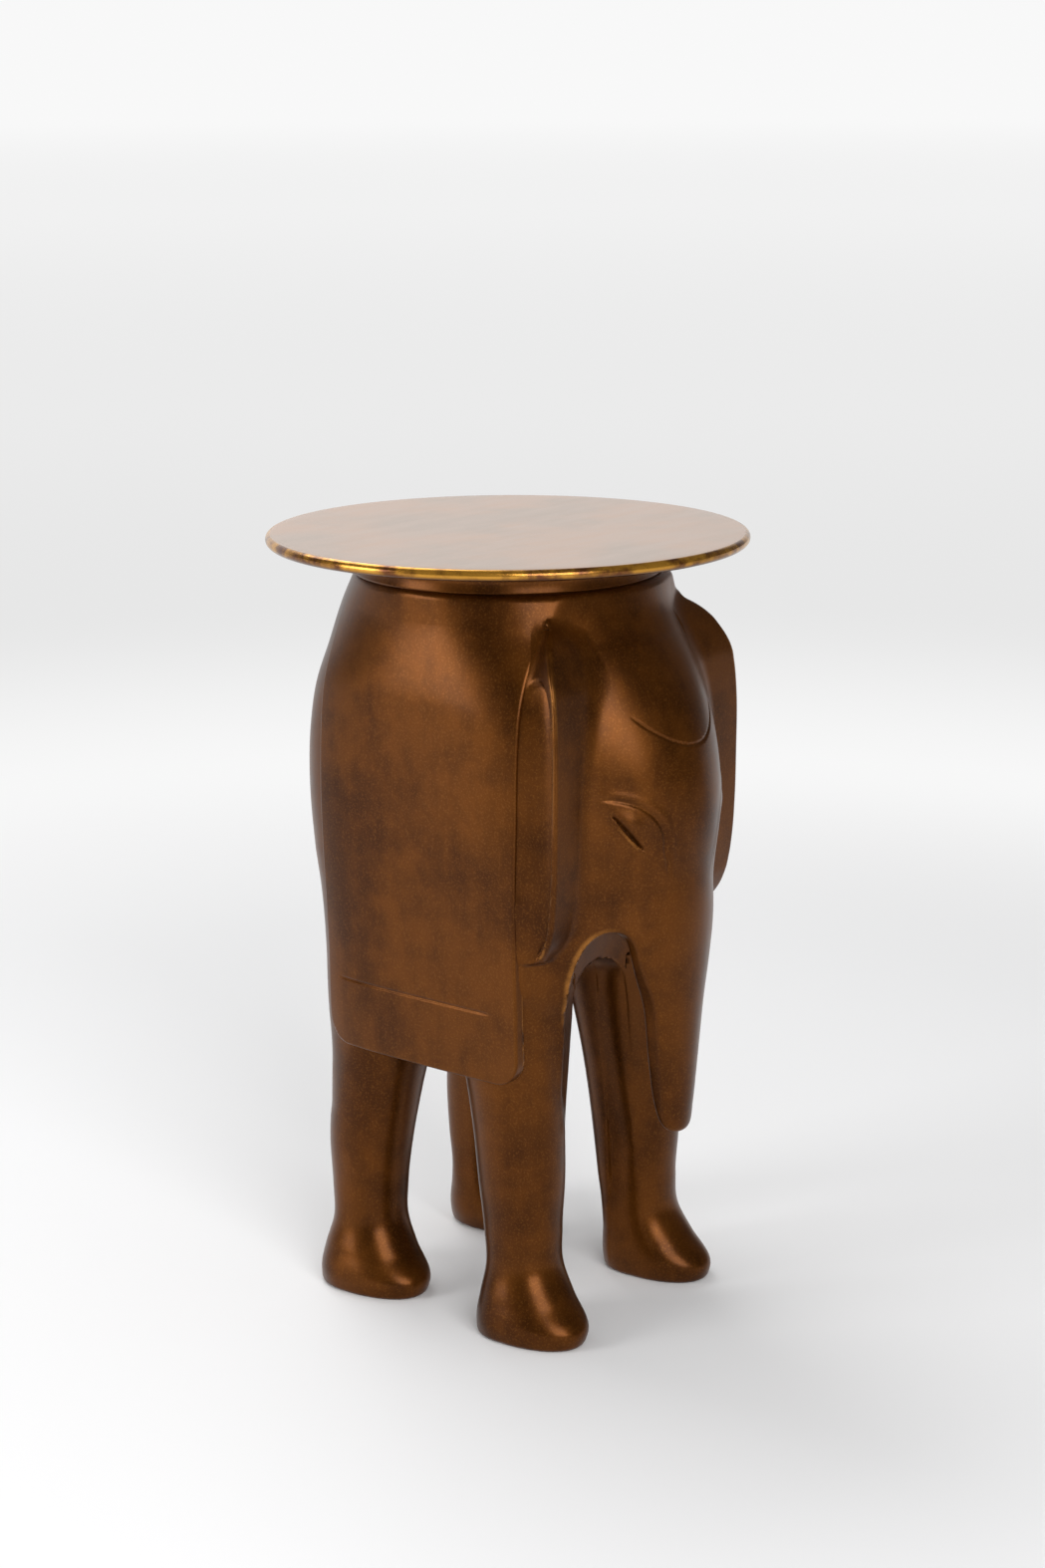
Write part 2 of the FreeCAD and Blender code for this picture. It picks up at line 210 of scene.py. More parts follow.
def legField(x, y, z, place, lean, heel):
    outward, inward, outer, front, back, inner = alongRows(leg["rows"], z / body["belly"])
    radius = leg["radius"]
    across = x - leg["spread"] - outward * radius
    along = y - place - inward * lean
    heel = heel * fade(-z, -leg["heelTop"], -leg["heelLow"])
    reach = np.where(along < 0, front * radius, back * radius + heel)
    halfWidth = np.where(across > 0, outer, inner) * radius
    # the shank is squarer at its inner back corner
    shank = fade(z, leg["shankLow"], leg["heelTop"]) * (across < 0) * (along > 0)
    power = leg["power"] + (leg["innerPower"] - leg["power"]) * shank
    field = ovalField(across, along, halfWidth, reach, power)
    return smoothMax(field, z - leg["chestTop"], leg["soleEdge"])


mouth = {
    "innerReach": 0.080,
    "outerReach": 0.104,
    "start": 0.062,
    # half width, height, springing level and power of the vault, inside and at the face
    "inner": (0.0250, 0.0335, 0.2255, 2.0),
    "outer": (0.0722, 0.0610, 0.2500, 4.5),
    "splay": 0.132,
    "splayLow": 0.100,
    "waist": 0.006,
    "waistLow": 0.215,
    "waistHigh": 0.270,
    "sillLow": 0.050,
    "sillHigh": 0.190,
    "edge": 0.0028,
    "softEdge": 0.008,
}


def mouthField(x, y, z):
    # a vault that flares from between the front legs out to the face
    depth = (-y - mouth["innerReach"]) / (mouth["outerReach"] - mouth["innerReach"])
    t = 1 - (1 - np.clip(depth, 0, 1)) ** 2
    t = t * fade(z, mouth["sillLow"], mouth["sillHigh"])
    halfWidth, height, spring, power = (start + t * (end - start)
                                        for start, end in zip(mouth["inner"], mouth["outer"]))
    innerSpring = mouth["inner"][2]
    splay = mouth["splay"] * np.clip(innerSpring - z, 0, innerSpring - mouth["splayLow"])
    waist = mouth["waist"] * (1 - fade(z, mouth["waistLow"], mouth["waistHigh"]))
    halfWidth = halfWidth + (1 - t) * splay - t * waist
    vault = ovalField(x, np.maximum(z - spring, 0), halfWidth, height, power)
    return np.maximum(vault, y + mouth["start"])


trunk = {
    "tip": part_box("trunk")[0].z,
    "root": 0.405,
    "blend": 0.012,
    "archBlend": 0.024,
    "backEdge": 0.003,
    "flare": 0.003,
    "flareLow": 0.250,
    "flareHigh": 0.310,
    "tipBlend": 0.016,
    "limit": 0.090,
    # level, half width, front reach, reach of the side edges and of the back
    "rows": [
        (0.144, 0.0120, 0.1545, 0.1500, 0.1480),
        (0.150, 0.0140, 0.1562, 0.1515, 0.1465),
        (0.165, 0.0170, 0.1580, 0.1515, 0.1425),
        (0.200, 0.0220, 0.1600, 0.1520, 0.1396),
        (0.245, 0.0285, 0.1624, 0.1525, 0.1389),
        (0.265, 0.0355, 0.1635, 0.1507, 0.1385),
        (0.300, 0.0430, 0.1652, 0.1490, 0.1370),
        (0.340, 0.0460, 0.1660, 0.1440, 0.1300),
        (0.380, 0.0480, 0.1655, 0.1380, 0.1250),
        (0.405, 0.0480, 0.1600, 0.1330, 0.1200),
    ],
}


def trunkSlab(x, y, z):
    # the sides, the back and the round tip
    halfWidth, _, _, back = alongRows(trunk["rows"], z)
    flare = trunk["flare"] * fade(z, trunk["flareLow"], trunk["flareHigh"])
    slab = smoothMax(x - halfWidth - flare, y + back, trunk["backEdge"])
    return smoothMax(slab, trunk["tip"] - z, trunk["tipBlend"])


def trunkFront(x, y, z):
    # the bowed front, which runs up into the face
    halfWidth, front, edge, _ = alongRows(trunk["rows"], z)
    bow = (front - edge) / halfWidth ** 2
    field = (-y - front + bow * x * x) / np.hypot(1, 2 * bow * x)
    field = np.maximum(field, x - trunk["limit"])
    field = smoothMax(field, trunk["tip"] - z, trunk["tipBlend"] / 2)
    field = smoothMax(field, z - trunk["root"], trunk["blend"])
    return np.maximum(field, y + body["seam"])


ear = {
    "bottom": 0.281,
    "top": 0.522,
    "arris": 0.0020,
    "topArris": 0.012,
    "topStart": 0.470,
    "topEnd": 0.515,
    "bottomBlend": 0.007,
    "valley": 0.007,
    "lipValley": 0.003,
    "lipStart": 0.004,
    "lipEnd": 0.045,
    "root": 0.055,
    "lap": 0.004,
    "clothRoom": 0.0008,
    "flankRoom": 0.012,
    "leastDepth": 0.001,
    "farthest": 1.2,
    "sideCurve": 1.6,
    # level, outer reach and front reach of the rolled front edge
    "rows": [
        (0.281, 0.0900, 0.0980),
        (0.284, 0.0940, 0.1040),
        (0.290, 0.0975, 0.1090),
        (0.296, 0.1000, 0.1130),
        (0.309, 0.1025, 0.1185),
        (0.322, 0.1040, 0.1210),
        (0.340, 0.1050, 0.1230),
        (0.365, 0.1057, 0.1242),
        (0.400, 0.1060, 0.1247),
        (0.440, 0.1060, 0.1245),
        (0.462, 0.1053, 0.1229),
        (0.474, 0.1045, 0.1210),
        (0.482, 0.1035, 0.1183),
        (0.490, 0.1015, 0.1148),
        (0.498, 0.0990, 0.1105),
        (0.507, 0.0925, 0.1030),
        (0.514, 0.0830, 0.0950),
        (0.520, 0.0725, 0.0885),
        (0.529, 0.0600, 0.0820),
    ],
}
earHollow = {
    "middle": 0.1030,
    "halfWidth": 0.0195,
    "shoulder": 0.430,
    "rise": 0.053,
    "rim": 0.0034,
    "lip": 0.0040,
    "depth": 0.0064,
    "wall": 0.0026,
    "backStart": -0.002,
    "backEnd": 0.022,
}


def earHollowDepth(y, z, front):
    above = np.maximum(z - earHollow["shoulder"], 0) / earHollow["rise"]
    across = (-y - earHollow["middle"]) / earHollow["halfWidth"]
    edge = (np.hypot(across, above) - 1) * earHollow["halfWidth"]
    edge = np.where(z > earHollow["shoulder"], edge, across - 1)
    edge = np.maximum(edge, -y - front + earHollow["rim"])
    edge = smoothMax(edge, ear["bottom"] + earHollow["lip"] - z, earHollow["lip"])
    deep = fade(edge, 0, -earHollow["wall"])
    ahead = fade(-y - body["seam"], earHollow["backStart"], earHollow["backEnd"])
    return earHollow["depth"] * deep * ahead


def earField(x, y, z):
    outer, front = alongRows(ear["rows"], z)
    # at the seam the ear starts flush with the cloth
    width, _, _, reach, power = alongRows(body["rows"], barrelLevel(z))
    seam = (body["seam"] - body["setback"]) / (reach * body["rumpReach"])
    flank = width * body["halfWidth"] * np.maximum(1 - seam ** power, 0) ** (1 / power)
    flank = flank + ear["clothRoom"] * (1 - fade(z, body["clothThins"], body["clothEnds"]))
    flank = np.minimum(flank, outer + ear["flankRoom"])
    depth = np.maximum(front - body["seam"], ear["leastDepth"])
    forward = np.clip((-y - body["seam"]) / depth, 0, ear["farthest"])
    side = flank + (outer - flank) * forward ** ear["sideCurve"]
    side = side - earHollowDepth(y, z, front)
    arris = ear["arris"] + ear["topArris"] * fade(z, ear["topStart"], ear["topEnd"])
    field = smoothMax(x - side, -y - front, arris)
    field = smoothMax(field, ear["bottom"] - z, ear["bottomBlend"])
    field = smoothMax(field, z - ear["top"], ear["bottomBlend"])
    field = np.maximum(field, ear["root"] - x)
    return np.maximum(field, y + body["seam"] - ear["lap"])


brow = {
    "level": 0.4286,
    "curve": 11.5,
    "halfWidth": 0.046,
    "ending": 0.010,
    "width": 0.0009,
    "depth": 0.0012,
}
eye = {
    "outer": (0.0624, 0.3883),
    "inner": (0.0425, 0.3582),
    # along the slit, from 0 at its outer to 1 at its inner corner
    "slitStart": (-0.02, 0.16),
    "slitEnd": (0.86, 1.02),
    "slitWidth": 0.0008,
    "slitDepth": 0.0022,
    "lid": (0.0535, 0.3800),
    "lidLength": 0.0105,
    "lidWidth": 0.0065,
    "lidHeight": 0.0018,
    "lipOffset": 0.0026,
    "lipWidth": 0.0009,
    "lipHeight": 0.0010,
    "pouchWidth": 0.0030,
    "pouchDepth": 0.0007,
    "foldCentre": (0.0671, 0.3612),
    "foldRadius": 0.0365,
    "foldDrift": 0.24,
    "foldWidth": 0.0016,
    "foldDepth": 0.0012,
    "foldCrest": 0.4,
    "foldEnd": 0.327,
    "foldFade": 0.040,
    # the angle at which the fold dies out over the lid, and how far past its centre it runs
    "foldTurn": (1.30, 1.65),
    "foldPast": 0.010,
}


def alongSegment(x, z, start, end):
    # how far along a line a point lies, and how far to its upper side
    length = math.hypot(end[0] - start[0], end[1] - start[1])
    ux = (end[0] - start[0]) / length
    uz = (end[1] - start[1]) / length
    along = (x - start[0]) * ux + (z - start[1]) * uz
    side = (x - start[0]) * uz - (z - start[1]) * ux
    return along / length, side, length


def bump(distance, width):
    return np.exp(-(distance / width) ** 2)


def browLine(x, z):
    rise = z - brow["level"] - brow["curve"] * x * x
    slope = np.hypot(1, 2 * brow["curve"] * x)
    ends = 1 - fade(x, brow["halfWidth"] - brow["ending"], brow["halfWidth"])
    return bump(rise / slope, brow["width"]) * ends


def foldLine(x, z):
    # round over the lid, then straight down beside the trunk
    centreX, centreZ = eye["foldCentre"]
    arc = np.hypot(x - centreX, z - centreZ) - eye["foldRadius"]
    down = centreX - x - eye["foldRadius"] - eye["foldDrift"] * (centreZ - z)
    away = np.where(z > centreZ, arc, down)
    angle = np.arctan2(z - centreZ, centreX - x)
    ends = fade(z, eye["foldEnd"], eye["foldEnd"] + eye["foldFade"])
    ends = ends * (1 - fade(angle, *eye["foldTurn"])) * (x < centreX + eye["foldPast"])
    crest = bump(away - 2 * eye["foldWidth"], 2 * eye["foldWidth"])
    return (bump(away, eye["foldWidth"]) - eye["foldCrest"] * crest) * ends


def eyeRelief(x, z):
    along, side, length = alongSegment(x, z, eye["outer"], eye["inner"])
    ends = fade(along, *eye["slitStart"]) * (1 - fade(along, *eye["slitEnd"]))
    slit = bump(side, eye["slitWidth"]) * ends
    opening = eye["lipOffset"] * np.clip(4 * along * (1 - along), 0, 1)
    lip = bump(side + opening, eye["lipWidth"]) * ends
    pouch = bump(side + opening + eye["pouchWidth"], eye["pouchWidth"]) * ends
    lidAlong, lidSide, _ = alongSegment(*eye["lid"], eye["outer"], eye["inner"])
    lid = bump(np.hypot((along - lidAlong) * length / eye["lidLength"],
                        (side - lidSide) / eye["lidWidth"]), 1)
    lid = lid * fade(side, -eye["slitWidth"], eye["slitWidth"])
    return (eye["lidHeight"] * lid + eye["lipHeight"] * lip - eye["slitDepth"] * slit
            - eye["pouchDepth"] * pouch - eye["foldDepth"] * foldLine(x, z))


def bodyField(x, y, z):
    x = np.abs(x)
    fromSeam = -y - body["seam"]
    skin = barrelField(x, y, z)
    barrel = smoothMax(skin, body["belly"] - z, body["bellyBlend"])
    barrel = smoothMax(barrel, fromSeam, body["chestBlend"])
    face = smoothMax(faceField(x, y, z), body["belly"] - z, body["bellyBlend"])
    field = smoothMin(barrel, face, head["seamBlend"])
    frontLeg = legField(x, y, z, -leg["frontReach"], leg["frontLean"], leg["frontHeel"])
    rearLeg = legField(x, y, z, leg["rearReach"], -leg["rearLean"], leg["rearHeel"])
    field = smoothMin(field, np.minimum(frontLeg, rearLeg), body["legBlend"])
    # all of it stays near the barrel's flanks, but for the feet and ahead of the seam
    ramp = fade(z, body["rampStart"], body["rampEnd"]) * (body["topRamp"] - body["swellRamp"])
    swell = np.clip(fromSeam * (body["swellRamp"] + ramp), 0, 1)
    swell = swell + body["footRoom"] * fade(-z, -body["footTop"], -body["footTop"] / 2)
    easing = body["seamEase"] + body["frontEase"] * fade(fromSeam, 0, body["easeReach"])
    field = smoothMax(field, skin - swell, easing)
    field = smoothMin(field, trunkFront(x, y, z), trunk["blend"])
    kept = smoothMin(-mouthField(x, y, z), trunkSlab(x, y, z), trunk["archBlend"])
    soft = fade(-z, -mouth["sillHigh"], -mouth["sillLow"])
    field = smoothMax(field, kept, mouth["edge"] + soft * (mouth["softEdge"] - mouth["edge"]))
    relief = eyeRelief(x, z) - brow["depth"] * browLine(x, z)
    field = field - relief * fade(-y, head["reliefStart"], head["reliefEnd"])
    lip = fade(z - ear["bottom"], ear["lipStart"], ear["lipEnd"])
    valley = ear["lipValley"] + (ear["valley"] - ear["lipValley"]) * lip
    field = smoothMin(field, earField(x, y, z), valley)
    field = smoothMax(field, z - body["crown"], body["crownEdge"])
    return smoothMax(field, -z, leg["soleEdge"])


# mesher

step = 0.0021 * 1.0
probe = 0.0004
# how far in and out the edge and hollow measures look, for the painted highlight and the
# painted shade
highlightAndShadeReach = 0.0035
# settling: how far off a corner may be, how often it is drawn in and the least slope used
settleReach = highlightAndShadeReach / 4
settleRounds = 4
leastRate = 0.5
# how strongly a corner is held to the middle of its cell's crossings
hold = 0.03

# stops along x, y and z, each a place and the step from there on as a share of the whole step
legAcross = ((0.018, 0.8), (0.040, 1), (0.118, 1))
legUp = ((-0.004, 1), (0.264, 1))
grids = {
    "torso": (
        ((-0.126, 1.25), (-0.040, 0.8), (0.040, 1.25), (0.126, 1)),
        ((-0.098, 0.8), (-0.056, 1.25), (0.146, 1)),
        ((0.221, 0.8), (0.268, 1.25), (0.537, 1))),
    "head": (
        ((-0.126, 1), (-0.078, 0.55), (0.078, 1), (0.126, 1)),
        ((-0.174, 0.55), (-0.118, 1), (-0.088, 1)),
        ((0.221, 1), (0.343, 0.55), (0.462, 1), (0.537, 1))),
    "trunk": (
        ((-0.055, 0.7), (0.055, 1)),
        ((-0.174, 0.7), (-0.100, 1)),
        ((0.138, 0.8), (0.334, 1))),
    "ear": (
        ((0.068, 0.6), (0.118, 1)),
        ((-0.130, 0.6), (-0.088, 1)),
        ((0.276, 0.7), (0.515, 1))),
    "front": (legAcross, ((-0.128, 1), (-0.018, 1)), legUp),
    "rear": (legAcross, ((0.018, 1), (0.124, 1)), legUp),
    "cloth": (
        ((0.068, 0.8), (0.122, 1)),
        ((-0.096, 0.4), (-0.086, 1), (0.078, 0.4), (0.088, 1)),
        ((0.191, 0.4), (0.200, 1), (0.241, 0.4), (0.250, 1), (0.520, 1))),
    "tail": (
        ((-0.020, 0.8), (0.020, 1)),
        ((0.104, 0.6), (0.144, 1)),
        ((0.236, 0.7), (0.486, 1))),
}


def spaced(stops):
    lines = []
    for (start, share), (end, _) in zip(stops, stops[1:]):
        count = max(1, round((end - start) / (step * share)))
        lines.extend(np.linspace(start, end, count, endpoint=False))
    lines.append(stops[-1][0])
    return np.array(lines)


def gridLines(name, side=1):
    # side is -1 for a piece on the elephant's right
    xs, ys, zs = (spaced(stops) for stops in grids[name])
    return np.sort(side * xs), ys, zs


def slope(field, points):
    x, y, z = points.T
    parts = [
        field(x + probe, y, z) - field(x - probe, y, z),
        field(x, y + probe, z) - field(x, y - probe, z),
        field(x, y, z + probe) - field(x, y, z - probe),
    ]
    found = np.stack(parts, axis=1)
    return found / np.maximum(np.linalg.norm(found, axis=1, keepdims=True), 1e-12)


def cellMesh(field, lines):
    # dual contouring: one corner in each grid cell that the surface crosses
    xs, ys, zs = lines
    values = field(xs[:, None, None], ys[None, :, None], zs[None, None, :])
    inside = values < 0
    cells = np.array(values.shape) - 1
    found = []
    for axis in range(3):
        other = [(axis + 1) % 3, (axis + 2) % 3]
        low = [slice(None)] * 3
        high = [slice(None)] * 3
        low[axis] = slice(0, -1)
        high[axis] = slice(1, None)
        index = np.argwhere(inside[tuple(low)] != inside[tuple(high)])
        keep = np.ones(len(index), bool)
        for side in other:
            keep &= (index[:, side] > 0) & (index[:, side] < cells[side])
        index = index[keep]
        above = index.copy()
        above[:, axis] += 1
        here = values[tuple(index.T)]
        there = values[tuple(above.T)]
        share = here / (here - there)
        points = np.stack([xs[index[:, 0]], ys[index[:, 1]], zs[index[:, 2]]], axis=1)
        ends = lines[axis][above[:, axis]]
        points[:, axis] += share * (ends - points[:, axis])
        around = []
        for first, second in ((-1, -1), (0, -1), (0, 0), (-1, 0)):
            cell = index.copy()
            cell[:, other[0]] += first
            cell[:, other[1]] += second
            around.append((cell[:, 0] * cells[1] + cell[:, 1]) * cells[2] + cell[:, 2])
        found.append((points, np.stack(around, axis=1), here > 0))
    points, quads, flips = (np.concatenate(part) for part in zip(*found))
    names, quads = np.unique(quads, return_inverse=True)
    quads = quads.reshape(-1, 4)
    corners = placeCorners(field, points, quads, names, cells, lines)
    quads[flips] = quads[flips][:, ::-1]
    return corners, quads


def placeCorners(field, points, quads, names, cells, lines):
    # each corner goes where the tangent planes at its cell's crossings meet
    normals = slope(field, points)
    total = len(names)
    cellOf = quads.ravel()
    normal = np.repeat(normals, 4, axis=0)
    point = np.repeat(points, 4, axis=0)
    count = np.bincount(cellOf, minlength=total)
    mean = np.stack([np.bincount(cellOf, point[:, k], total) for k in range(3)], axis=1)
    mean /= count[:, None]
    offset = np.einsum("ij,ij->i", normal, point - mean[cellOf])
    matrix = np.zeros((total, 3, 3))
    right = np.zeros((total, 3))
    for a in range(3):
        right[:, a] = np.bincount(cellOf, normal[:, a] * offset, total)
        for b in range(3):
            matrix[:, a, b] = np.bincount(cellOf, normal[:, a] * normal[:, b], total)
    matrix += np.eye(3) * (hold * count)[:, None, None]
    corners = mean + np.linalg.solve(matrix, right[:, :, None])[:, :, 0]
    place = np.stack(np.unravel_index(names, cells), axis=1)
    for axis in range(3):
        low = lines[axis][place[:, axis]]
        high = lines[axis][place[:, axis] + 1]
        corners[:, axis] = np.clip(corners[:, axis], low, high)
    return corners


def addObject(name, data):
    made = bpy.data.objects.new(name, data)
    bpy.context.scene.collection.objects.link(made)
    return made


def addMesh(name, corners, faces, normals, notes):
    mesh = bpy.data.meshes.new(name)
    mesh.from_pydata(corners.tolist(), [], [tuple(face) for face in faces.tolist()])
    mesh.validate()
    mesh.update()
    for title, values in notes.items():
        layer = mesh.attributes.new(title, "FLOAT", "POINT")
        layer.data.foreach_set("value", values.astype(np.float32))
    mesh.shade_smooth()
    mesh.normals_split_custom_set_from_vertices(normals.tolist())
    addObject(name, mesh)


def settle(corners, surface, region):
    # corners near the skin are drawn onto it, and those near a cut onto that as well
    corners = corners.copy()
    for _ in range(settleRounds):
        for part in (region, surface):
            normal = slope(part, corners)
            ahead = part(*(corners + normal * probe).T)
            behind = part(*(corners - normal * probe).T)
            rate = np.maximum((ahead - behind) / (2 * probe), leastRate)
            away = part(*corners.T) / rate
            near = np.abs(away) < settleReach
            corners[near] -= normal[near] * away[near, None]
    return corners


def makeSection(name, surface, region, lines):
    def field(x, y, z):
        return np.maximum(surface(x, y, z), region(x, y, z))

    corners, quads = cellMesh(field, lines)
    corners = settle(corners, surface, region)
    corners[:, 2] = np.maximum(corners[:, 2], 0)
    onSkin = np.abs(surface(*corners.T)) < probe
    normals = slope(field, corners)
    normals[onSkin] = slope(surface, corners[onSkin])
    # how sharp an edge each corner sits on, for rubbed wear with a painted highlight along it
    inner = surface(*(corners - normals * highlightAndShadeReach).T)
    # how deep a hollow each corner sits in, for painted shade there
    outer = surface(*(corners + normals * highlightAndShadeReach).T)
    addMesh(name, corners, quads, normals, {
        "wear_and_highlight": np.clip((inner + highlightAndShadeReach) / highlightAndShadeReach, 0, 1),
        "painted_shade": np.clip((highlightAndShadeReach - outer) / highlightAndShadeReach, 0, 1),
    })
    print(name, len(quads), "faces")


# regions

plugLow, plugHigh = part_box("front_right_core_plug")
sections = {
    "legCut": body["belly"] - 0.004,
    "archHalfWidth": 0.031,
    "archLow": 0.226,
    "earValley": 0.072,
    "earFloor": 0.280,
    "earRoof": 0.511,
    "trunkHalfWidth": 0.050,
    "trunkBack": 0.106,
    "trunkTop": 0.330,
    "trunkLow": 0.135,
    "seatRadius": (plugHigh.x - plugLow.x) / 2 + 0.0001,
    "seatTop": plugHigh.z,
}


def earRegion(x, y, z):
    deep = np.maximum(sections["earValley"] - np.abs(x), y + body["seam"])
    return np.maximum(deep, np.maximum(sections["earFloor"] - z, z - sections["earRoof"]))


def trunkRegion(x, y, z):
    sides = np.maximum(np.abs(x) - sections["trunkHalfWidth"], y + sections["trunkBack"])
    return np.maximum(sides, np.maximum(z - sections["trunkTop"], sections["trunkLow"] - z))


def aboveLegs(x, z):
    # the crown of the vault hangs down between the legs
    crown = np.maximum(np.abs(x) - sections["archHalfWidth"], sections["archLow"] - z)
    return np.minimum(crown, sections["legCut"] - z)


def torsoRegion(x, y, z):
    return np.maximum(-y - body["seam"], aboveLegs(x, z))


def headRegion(x, y, z):
    front = np.maximum(y + body["seam"], aboveLegs(x, z))
    front = np.maximum(front, -earRegion(x, y, z))
    return np.maximum(front, -trunkRegion(x, y, z))


def legRegion(side, end, plug):
    # a quarter of the space below the body, less the seat of the plug in the sole
    def region(x, y, z):
        quarter = np.maximum(-side * x, -end * y)
        seat = np.maximum(np.hypot(x - plug.x, y - plug.y) - sections["seatRadius"],
                          z - sections["seatTop"])
        quarter = np.maximum(quarter, np.maximum(-aboveLegs(x, z), -seat))
        return np.maximum(quarter, -trunkRegion(x, y, z))

    return region


def makeBody():
    for name, region in (("torso", torsoRegion), ("head", headRegion), ("trunk", trunkRegion)):
        makeSection(name + "_casting", bodyField, region, gridLines(name))
    for side, name in ((-1, "right"), (1, "left")):
        makeSection(name + "_ear_casting", bodyField, earRegion, gridLines("ear", side))
        for end, place in ((-1, "front"), (1, "rear")):
            low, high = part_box(f"{place}_{name}_core_plug")
            makeSection(f"{place}_{name}_leg_casting", bodyField,
                        legRegion(side, end, (low + high) / 2), gridLines(place, side))


makeBody()
print("body meshed")


# saddle cloths and tail

cloth = {
    "thickness": 0.0040,
    "topSink": 0.00008,
    "front": body["seam"] + 0.0012,
    "rear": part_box("right_saddle_cloth")[1].y,
    "corner": 0.020,
    "edge": 0.0022,
    "lap": 0.0070,
    "root": 0.050,
    "hemLine": 0.2455,
    "hemFront": -0.074,
    "hemRear": 0.071,
    "hemEnds": 0.012,
    "lineWidth": 0.0009,
    "lineDepth": 0.0010,
}


def clothOutline(y, z):
    # distance to a window with round lower corners
    middle = (cloth["rear"] - cloth["front"]) / 2
    half = (cloth["rear"] + cloth["front"]) / 2
    across = np.abs(y - middle) - (half - cloth["corner"])
    down = body["hem"] + cloth["corner"] - z
    corner = np.hypot(np.maximum(across, 0), np.maximum(down, 0)) - cloth["corner"]
    flat = np.maximum(across, down) - cloth["corner"]
    return np.where((across > 0) & (down > 0), corner, flat)


def clothField(x, y, z):
    x = np.abs(x)
    skin = barrelField(x, y, z)
    thin = fade(z, body["clothThins"], body["clothEnds"])
    thickness = cloth["thickness"] * (1 - thin) - cloth["topSink"]
    line = bump(z - cloth["hemLine"], cloth["lineWidth"])
    line = line * fade(y - cloth["hemFront"], 0, cloth["hemEnds"])
    line = line * (1 - fade(y - cloth["hemRear"], -cloth["hemEnds"], 0))
    outer = skin - thickness + line * cloth["lineDepth"]
    panel = smoothMax(outer, clothOutline(y, z), cloth["edge"])
    panel = np.maximum(panel, -skin - cloth["lap"])
    panel = np.maximum(panel, cloth["root"] - x)
    return np.maximum(panel, z - body["clothEnds"])


def anywhere(x, y, z):
    return 0 * (x + y + z) - 1


tail = {
    "width": 0.0085,
    "proud": 0.0055,
    "taper": 0.25,
    "top": 0.468,
    "bottom": 0.262,
    "tuft": 0.0052,
    "tuftStart": 0.300,
    "tuftEnd": 0.264,
}


def tailField(x, y, z):
    skin = barrelField(x, y, z)
    thinning = 1 - tail["taper"] * fade(z, tail["tuftStart"], tail["top"])
    tuft = tail["tuft"] * fade(-z, -tail["tuftStart"], -tail["tuftEnd"])
    width = tail["width"] * thinning + tuft
    ends = np.maximum(z - tail["top"], 0) + np.maximum(tail["bottom"] - z, 0)
    across = np.hypot(x, ends) / width
    section = np.hypot(across, skin / tail["proud"])
    return (section - 1) * tail["proud"]


def makeTrim():
    for side, name in ((-1, "right"), (1, "left")):
        makeSection(name + "_cloth_casting", clothField, anywhere, gridLines("cloth", side))
    makeSection("tail_casting", tailField, anywhere, gridLines("tail"))


makeTrim()
print("trim meshed")


# turned pieces

def turnedTree():
    # a lathe: a grid is laid over copies of the profile, stepped round the vertical axis
    tree = bpy.data.node_groups.new("turned profile", "GeometryNodeTree")
    for title, kind in (("Geometry", "Geometry"), ("Steps", "Int"), ("Finish", "Material")):
        tree.interface.new_socket(title, in_out="INPUT", socket_type="NodeSocket" + kind)
    tree.interface.new_socket("Geometry", in_out="OUTPUT", socket_type="NodeSocketGeometry")
    operations = {"row": "MODULO", "step": "DIVIDE", "whole": "FLOOR", "turn": "DIVIDE",
                  "angle": "MULTIPLY", "columns": "ADD"}
    kinds = {
        "given": "NodeGroupInput", "result": "NodeGroupOutput",
        "size": "GeometryNodeAttributeDomainSize", "place": "GeometryNodeInputPosition",
        "sample": "GeometryNodeSampleIndex", "grid": "GeometryNodeMeshGrid",
        "index": "GeometryNodeInputIndex", "rotate": "ShaderNodeVectorRotate",
        "move": "GeometryNodeSetPosition", "merge": "GeometryNodeMergeByDistance",
        "real": "GeometryNodeRealizeInstances", "finish": "GeometryNodeSetMaterial",
        **dict.fromkeys(operations, "ShaderNodeMath"),
    }
    made = {title: tree.nodes.new(kind) for title, kind in kinds.items()}
    made["sample"].data_type = "FLOAT_VECTOR"
    made["rotate"].rotation_type = "Z_AXIS"
    for title, operation in operations.items():
        made[title].operation = operation
    made["angle"].inputs[1].default_value = 2 * math.pi
    made["columns"].inputs[1].default_value = 1
    made["merge"].inputs["Distance"].default_value = 1e-6
    # node, output, node, input
    links = [
        ("given", "Geometry", "size", "Geometry"),
        ("given", "Geometry", "sample", "Geometry"),
        ("place", 0, "sample", "Value"),
        ("index", 0, "row", 0),
        ("size", "Point Count", "row", 1),
        ("row", 0, "sample", "Index"),
        ("index", 0, "step", 0),
        ("size", "Point Count", "step", 1),
        ("step", 0, "whole", 0),
        ("whole", 0, "turn", 0),
        ("given", "Steps", "turn", 1),
        ("turn", 0, "angle", 0),
        ("sample", 0, "rotate", "Vector"),
        ("angle", 0, "rotate", "Angle"),
        ("given", "Steps", "columns", 0),
        ("columns", 0, "grid", "Vertices X"),
        ("size", "Point Count", "grid", "Vertices Y"),
        ("grid", "Mesh", "move", "Geometry"),
        ("rotate", 0, "move", "Position"),
        ("move", 0, "merge", "Geometry"),
        ("merge", 0, "real", "Geometry"),
        ("real", 0, "finish", "Geometry"),
        ("given", "Finish", "finish", "Material"),
        ("finish", 0, "result", "Geometry"),
    ]
    for first, leaves, second, enters in links:
        tree.links.new(made[first].outputs[leaves], made[second].inputs[enters])
    return tree


